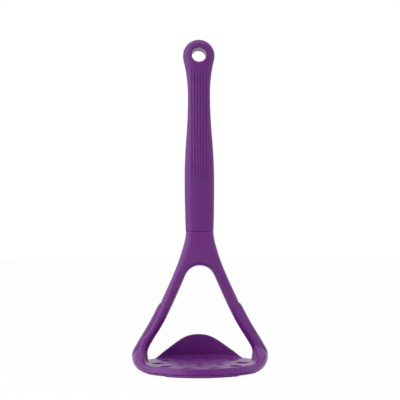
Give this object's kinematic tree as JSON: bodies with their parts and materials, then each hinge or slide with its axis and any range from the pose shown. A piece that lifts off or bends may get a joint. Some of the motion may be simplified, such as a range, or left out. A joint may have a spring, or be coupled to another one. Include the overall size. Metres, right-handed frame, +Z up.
{
  "type": "potato masher",
  "caption": "Upright kitchen potato masher: soft grip with a hanging eye, forked neck, round pierced mashing plate with a scoop-shaped wall at the back, and soft edge strips.",
  "frame": {"origin": "on the table under the middle of the plate, where the masher stands on its lips", "axes": "+Z up along the handle, +X to the right seen from the front, +Y away from the viewer, towards the scoop wall"},
  "size_m": [0.1024, 0.0944, 0.25],
  "materials": {
    "soft_grip": "soft-touch over-moulding, satin purple",
    "head_plastic": "satin-gloss moulded purple",
    "soft_edge": "soft edge moulding, satin purple"
  },
  "bodies": {
    "root": {"grip_sleeve": "soft_grip", "handle_core": "head_plastic", "neck_yoke": "head_plastic", "left_leg": "head_plastic", "right_leg": "head_plastic", "mashing_plate": "head_plastic", "scoop_wall": "head_plastic", "left_edge_strip": "soft_edge", "right_edge_strip": "soft_edge", "front_lip": "soft_edge", "rear_lip": "soft_edge"}
  },
  "joints": []
}
